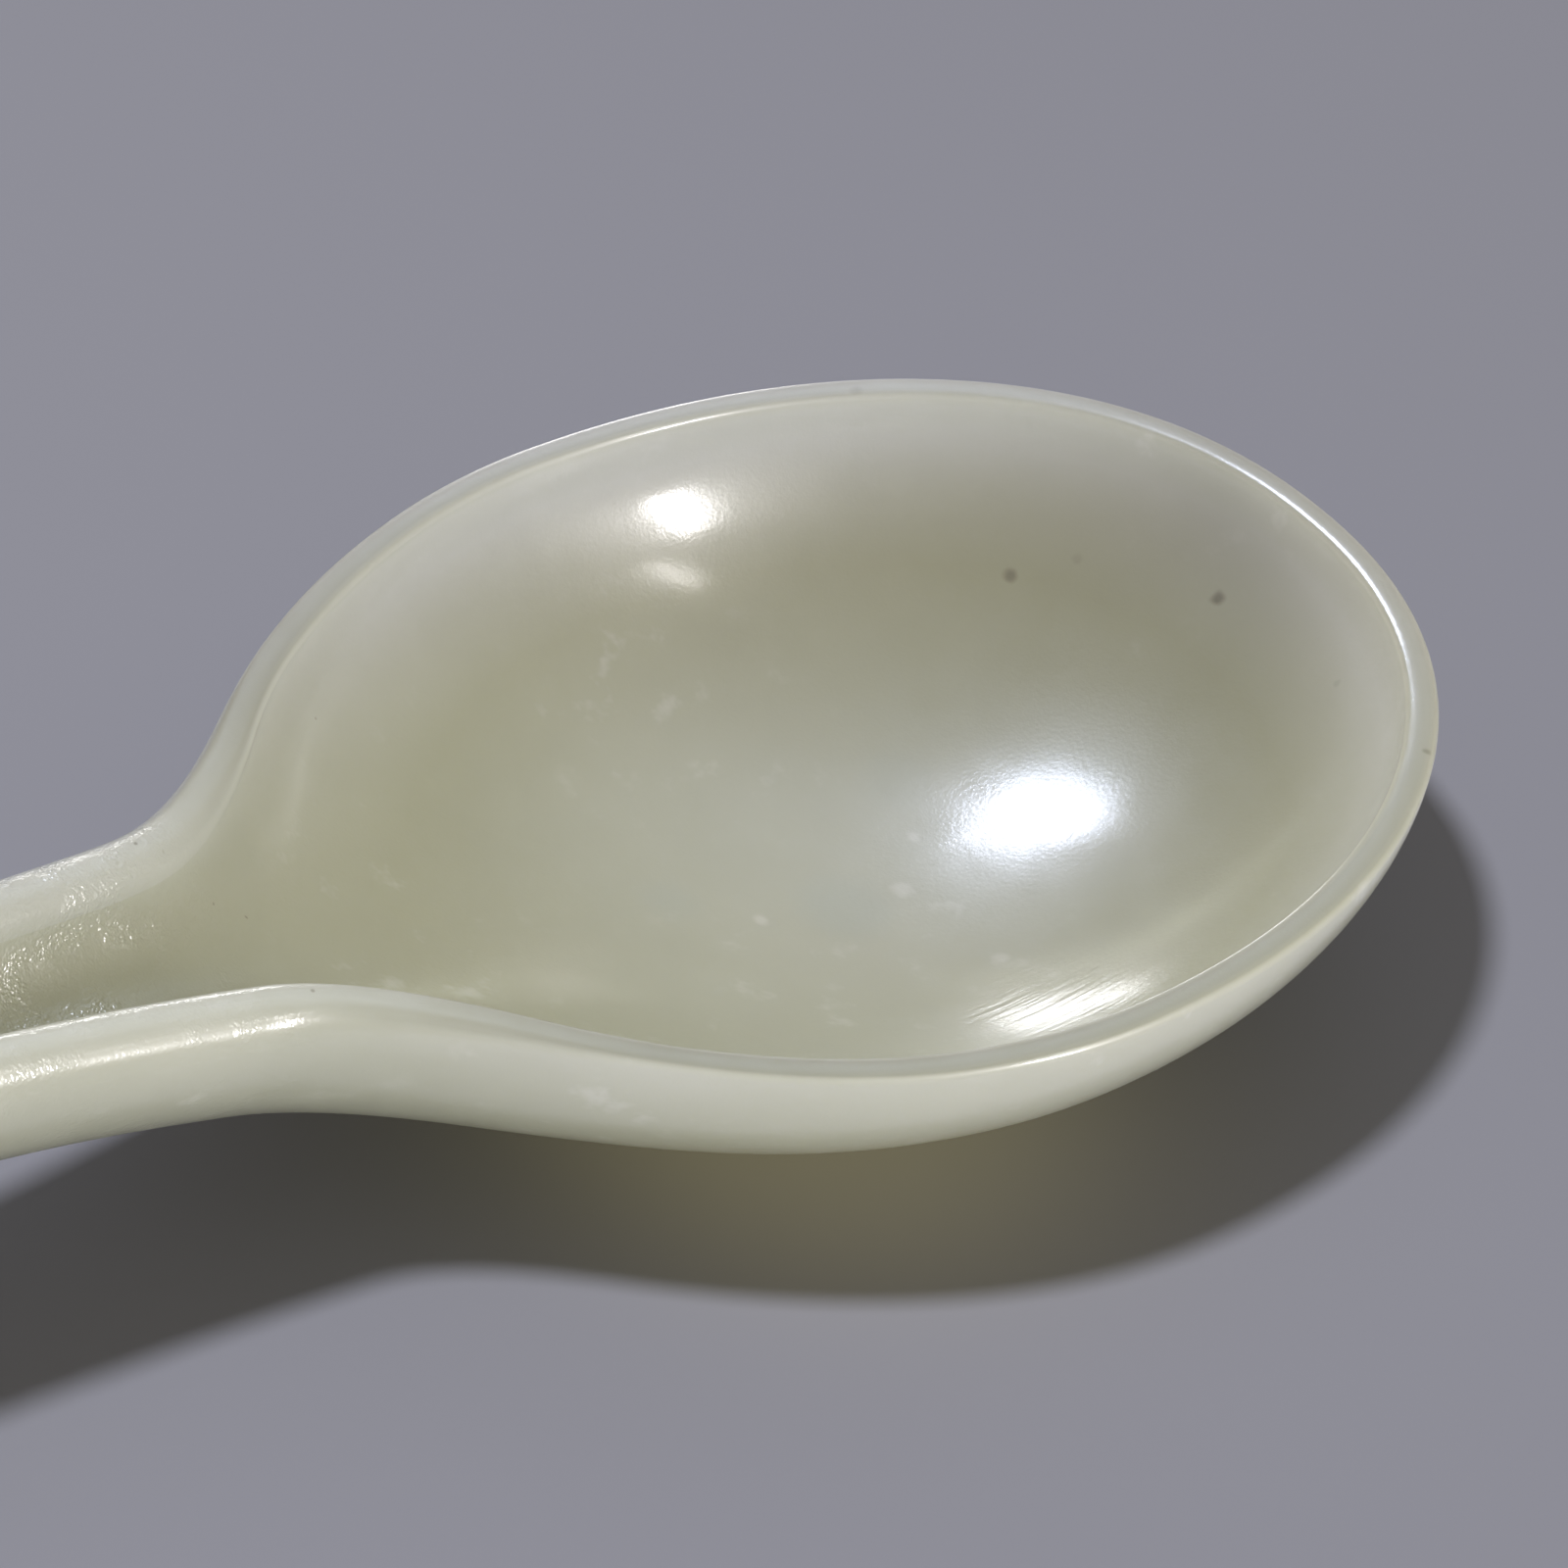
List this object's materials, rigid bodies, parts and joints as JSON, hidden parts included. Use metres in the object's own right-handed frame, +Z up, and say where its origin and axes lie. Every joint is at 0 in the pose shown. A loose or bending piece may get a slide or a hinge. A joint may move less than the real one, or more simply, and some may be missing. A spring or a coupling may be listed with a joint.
{
  "type": "jade spoon",
  "caption": "Serving spoon carved from one piece of pale jade, with a deep egg-shaped bowl and an arched, channelled handle.",
  "frame": {"origin": "on the resting plane, under the middle of the spoon's whole length", "axes": "+X along the spoon towards the tip of the bowl, +Y across the bowl, +Z up out of the bowl"},
  "size_m": [0.16, 0.045, 0.0179],
  "materials": {
    "jade": "polished, slightly translucent nephrite"
  },
  "bodies": {
    "root": {"spoon": "jade"}
  },
  "joints": []
}
